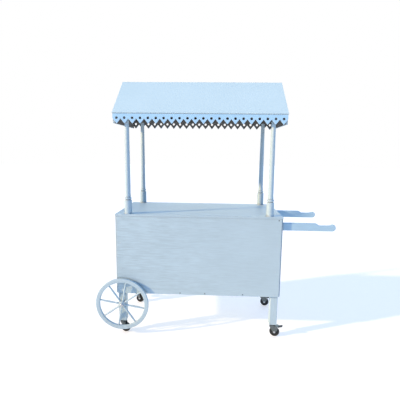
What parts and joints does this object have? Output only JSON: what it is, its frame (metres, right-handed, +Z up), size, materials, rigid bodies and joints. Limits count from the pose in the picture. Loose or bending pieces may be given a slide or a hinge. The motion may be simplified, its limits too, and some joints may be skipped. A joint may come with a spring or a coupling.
{
  "type": "candy cart",
  "caption": "Painted plywood vendor's cart with a gabled roof on turned posts, pierced valances, push handles, swivel casters and hung spoked wheels.",
  "frame": {"origin": "on the floor, under the centre of the cart's overall box", "axes": "+X towards the push handles, +Y from the panelled front to the open back, +Z up"},
  "size_m": [1.756, 0.6996, 1.912],
  "materials": {
    "painted_ply": "pale blue satin paint on plywood",
    "painted_timber": "pale blue satin paint on turned and sawn softwood",
    "painted_frame": "pale blue paint on frame timber and inner boards",
    "bare_timber": "bare softwood under the roof, gone grey-brown",
    "zinc_steel": "bright zinc plated pressed steel",
    "bolt_steel": "dull zinc plated bolts",
    "black_rubber": "black moulded rubber",
    "black_plastic": "black moulded plastic"
  },
  "bodies": {
    "cart": {"axle_bolt_back": "bolt_steel", "axle_bolt_front": "bolt_steel", "axle_nuts_and_washers": "bolt_steel", "caster_plate_back_left": "zinc_steel", "caster_plate_back_right": "zinc_steel", "caster_plate_front_left": "zinc_steel", "caster_plate_front_right": "zinc_steel", "corner_leg_back_left": "painted_timber", "corner_leg_back_right": "painted_timber", "corner_leg_front_left": "painted_timber", "corner_leg_front_right": "painted_timber", "counter_rail_back": "painted_frame", "counter_rail_front": "painted_frame", "counter_top": "painted_ply", "eave_rail_back": "bare_timber", "eave_rail_front": "bare_timber", "floor_board": "painted_frame", "floor_rail_back": "painted_frame", "floor_rail_front": "painted_frame", "front_panel": "painted_ply", "gable_end_left": "painted_ply", "gable_end_right": "painted_ply", "handle_back": "painted_timber", "handle_front": "painted_timber", "post_back_left": "painted_timber", "post_back_right": "painted_timber", "post_front_left": "painted_timber", "post_front_right": "painted_timber", "ridge_beam": "bare_timber", "roof_slope_back": "painted_ply", "roof_slope_front": "painted_ply", "shelf_cleat_left": "painted_frame", "shelf_cleat_right": "painted_frame", "side_panel_left": "painted_ply", "side_panel_right": "painted_ply", "storage_shelf": "painted_frame", "valance_back": "painted_ply", "valance_front": "painted_ply"},
    "spoked_wheel_front": {"wheel_rim_front": "painted_timber", "wheel_spokes_front": "painted_timber", "wheel_hub_front": "painted_timber"},
    "caster_swivel_front_left": {"caster_fork_front_left": "zinc_steel", "caster_axle_front_left": "zinc_steel"},
    "caster_roller_front_left": {"caster_wheel_front_left": "black_rubber"},
    "caster_swivel_front_right": {"caster_fork_front_right": "zinc_steel", "caster_axle_front_right": "zinc_steel", "brake_pin_front_right": "zinc_steel"},
    "caster_roller_front_right": {"caster_wheel_front_right": "black_rubber"},
    "caster_brake_front_right": {"brake_pedal_front_right": "black_plastic"},
    "spoked_wheel_back": {"wheel_rim_back": "painted_timber", "wheel_spokes_back": "painted_timber", "wheel_hub_back": "painted_timber"},
    "caster_swivel_back_left": {"caster_fork_back_left": "zinc_steel", "caster_axle_back_left": "zinc_steel"},
    "caster_roller_back_left": {"caster_wheel_back_left": "black_rubber"},
    "caster_swivel_back_right": {"caster_fork_back_right": "zinc_steel", "caster_axle_back_right": "zinc_steel", "brake_pin_back_right": "zinc_steel"},
    "caster_roller_back_right": {"caster_wheel_back_right": "black_rubber"},
    "caster_brake_back_right": {"brake_pedal_back_right": "black_plastic"}
  },
  "joints": [
    {"name": "spoked_wheel_spin_front", "type": "hinge", "parent": "cart", "child": "spoked_wheel_front", "pos_m": [-0.68, -0.324, 0.249], "axis": [0, 1, 0], "continuous": true},
    {"name": "caster_turn_front_left", "type": "hinge", "parent": "cart", "child": "caster_swivel_front_left", "pos_m": [-0.6875, -0.2605, 0.085], "axis": [0, 0, 1], "continuous": true},
    {"name": "caster_roll_front_left", "type": "hinge", "parent": "caster_swivel_front_left", "child": "caster_roller_front_left", "pos_m": [-0.67003, -0.26485, 0.0375], "axis": [0.2419, 0.9703, 0], "continuous": true},
    {"name": "caster_turn_front_right", "type": "hinge", "parent": "cart", "child": "caster_swivel_front_right", "pos_m": [0.4535, -0.2605, 0.085], "axis": [0, 0, 1], "continuous": true},
    {"name": "caster_roll_front_right", "type": "hinge", "parent": "caster_swivel_front_right", "child": "caster_roller_front_right", "pos_m": [0.47097, -0.26485, 0.0375], "axis": [0.2419, 0.9703, 0], "continuous": true},
    {"name": "brake_press_front_right", "type": "hinge", "parent": "caster_swivel_front_right", "child": "caster_brake_front_right", "pos_m": [0.49425, -0.27066, 0.0775], "axis": [0.2419, 0.9703, 0], "range_deg": [0, 25]},
    {"name": "spoked_wheel_spin_back", "type": "hinge", "parent": "cart", "child": "spoked_wheel_back", "pos_m": [-0.68, 0.324, 0.249], "axis": [0, 1, 0], "continuous": true},
    {"name": "caster_turn_back_left", "type": "hinge", "parent": "cart", "child": "caster_swivel_back_left", "pos_m": [-0.6875, 0.2605, 0.085], "axis": [0, 0, 1], "continuous": true},
    {"name": "caster_roll_back_left", "type": "hinge", "parent": "caster_swivel_back_left", "child": "caster_roller_back_left", "pos_m": [-0.67003, 0.25615, 0.0375], "axis": [0.2419, 0.9703, 0], "continuous": true},
    {"name": "caster_turn_back_right", "type": "hinge", "parent": "cart", "child": "caster_swivel_back_right", "pos_m": [0.4535, 0.2605, 0.085], "axis": [0, 0, 1], "continuous": true},
    {"name": "caster_roll_back_right", "type": "hinge", "parent": "caster_swivel_back_right", "child": "caster_roller_back_right", "pos_m": [0.47097, 0.25615, 0.0375], "axis": [0.2419, 0.9703, 0], "continuous": true},
    {"name": "brake_press_back_right", "type": "hinge", "parent": "caster_swivel_back_right", "child": "caster_brake_back_right", "pos_m": [0.49425, 0.25034, 0.0775], "axis": [0.2419, 0.9703, 0], "range_deg": [0, 25]}
  ]
}
